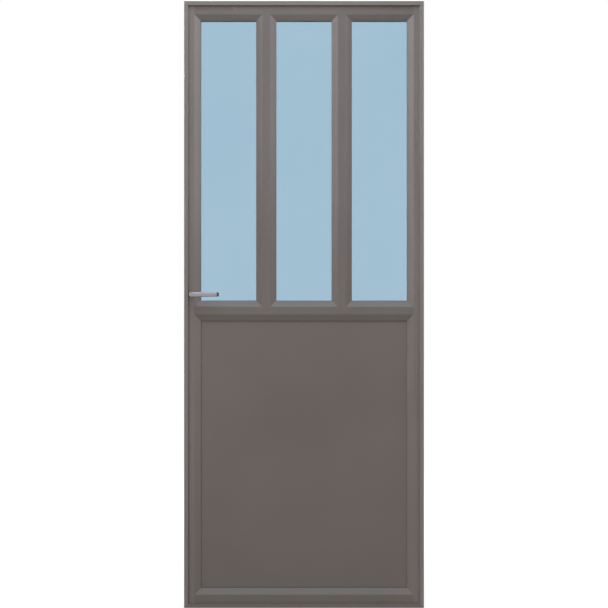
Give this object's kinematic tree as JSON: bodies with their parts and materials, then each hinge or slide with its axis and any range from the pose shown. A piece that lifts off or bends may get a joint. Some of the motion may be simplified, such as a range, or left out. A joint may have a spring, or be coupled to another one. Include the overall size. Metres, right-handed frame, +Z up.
{
  "type": "aluminium door",
  "caption": "Upright glazed aluminium door leaf in a slim frame, with tall upright panes over a flat lower panel, a lever latch and butt hinges.",
  "frame": {"origin": "middle of the frame's underside, half way through its depth", "axes": "+X to the right as the front is seen, +Y from the front to the back, +Z up"},
  "size_m": [0.83, 0.155, 2.1],
  "materials": {
    "coat": "matte",
    "glass": "polished",
    "seal": "matte",
    "mill_aluminium": "satin",
    "foam": "matte",
    "block_plastic": "matte",
    "hinge_coat": "satin",
    "zinc_steel": "satin",
    "satin_steel": "satin",
    "satin_handle": "satin"
  },
  "bodies": {
    "frame": {"jamb_left": "coat", "jamb_right": "coat", "head": "coat", "sill": "coat", "corner_cleats": "mill_aluminium", "frame_seal": "seal", "strike_plate": "satin_steel", "strike_screws": "zinc_steel", "hinge_top_frame_wing": "hinge_coat", "hinge_middle_frame_wing": "hinge_coat", "hinge_bottom_frame_wing": "hinge_coat", "hinge_pins": "zinc_steel", "hinge_frame_screws": "zinc_steel"},
    "leaf": {"beads_left": "coat", "beads_middle": "coat", "beads_panel": "coat", "beads_right": "coat", "bottom_rail": "coat", "faceplate_screws": "zinc_steel", "gaskets_back": "seal", "gaskets_front": "seal", "hinge_bottom_leaf_wing": "hinge_coat", "hinge_leaf_screws": "zinc_steel", "hinge_middle_leaf_wing": "hinge_coat", "hinge_top_leaf_wing": "hinge_coat", "latch_spring": "zinc_steel", "lock_case": "zinc_steel", "lock_clips": "mill_aluminium", "lock_cover": "zinc_steel", "lock_faceplate": "satin_steel", "mid_rail": "coat", "mullion_cleats": "mill_aluminium", "mullion_left": "coat", "mullion_right": "coat", "pane_back_left": "glass", "pane_back_middle": "glass", "pane_back_right": "glass", "pane_front_left": "glass", "pane_front_middle": "glass", "pane_front_right": "glass", "panel_back_skin": "coat", "panel_core": "foam", "panel_front_skin": "coat", "rail_cleats": "mill_aluminium", "rose_back": "satin_handle", "rose_front": "satin_handle", "setting_blocks": "block_plastic", "spacers": "mill_aluminium", "stile_hinge": "coat", "stile_lock": "coat", "top_rail": "coat"},
    "lever": {"lever_front": "satin_handle", "lever_back": "satin_handle", "spindle": "zinc_steel", "lock_hub": "zinc_steel", "grub_screws": "zinc_steel"},
    "latch": {"latch_bolt": "satin_steel"}
  },
  "joints": [
    {"name": "leaf_hinge", "type": "hinge", "parent": "frame", "child": "leaf", "pos_m": [0.408, 0.035, 1.05], "axis": [0, 0, -1], "range_deg": [0, 110]},
    {"name": "lever_turn", "type": "hinge", "parent": "leaf", "child": "lever", "pos_m": [-0.3905, 0.006, 1.085], "axis": [0, 1, 0], "range_deg": [0, 45], "stiffness_Nm_per_rad": 1.5, "springref_deg": -17.19},
    {"name": "latch_slide", "type": "slide", "parent": "leaf", "child": "latch", "axis": [1, 0, 0], "range_m": [0, 0.008], "deforming": ["latch_spring"]}
  ],
  "couplings": [
    {"joint": "latch_slide", "follows": "lever_turn", "m_per_rad": 0.010185}
  ]
}
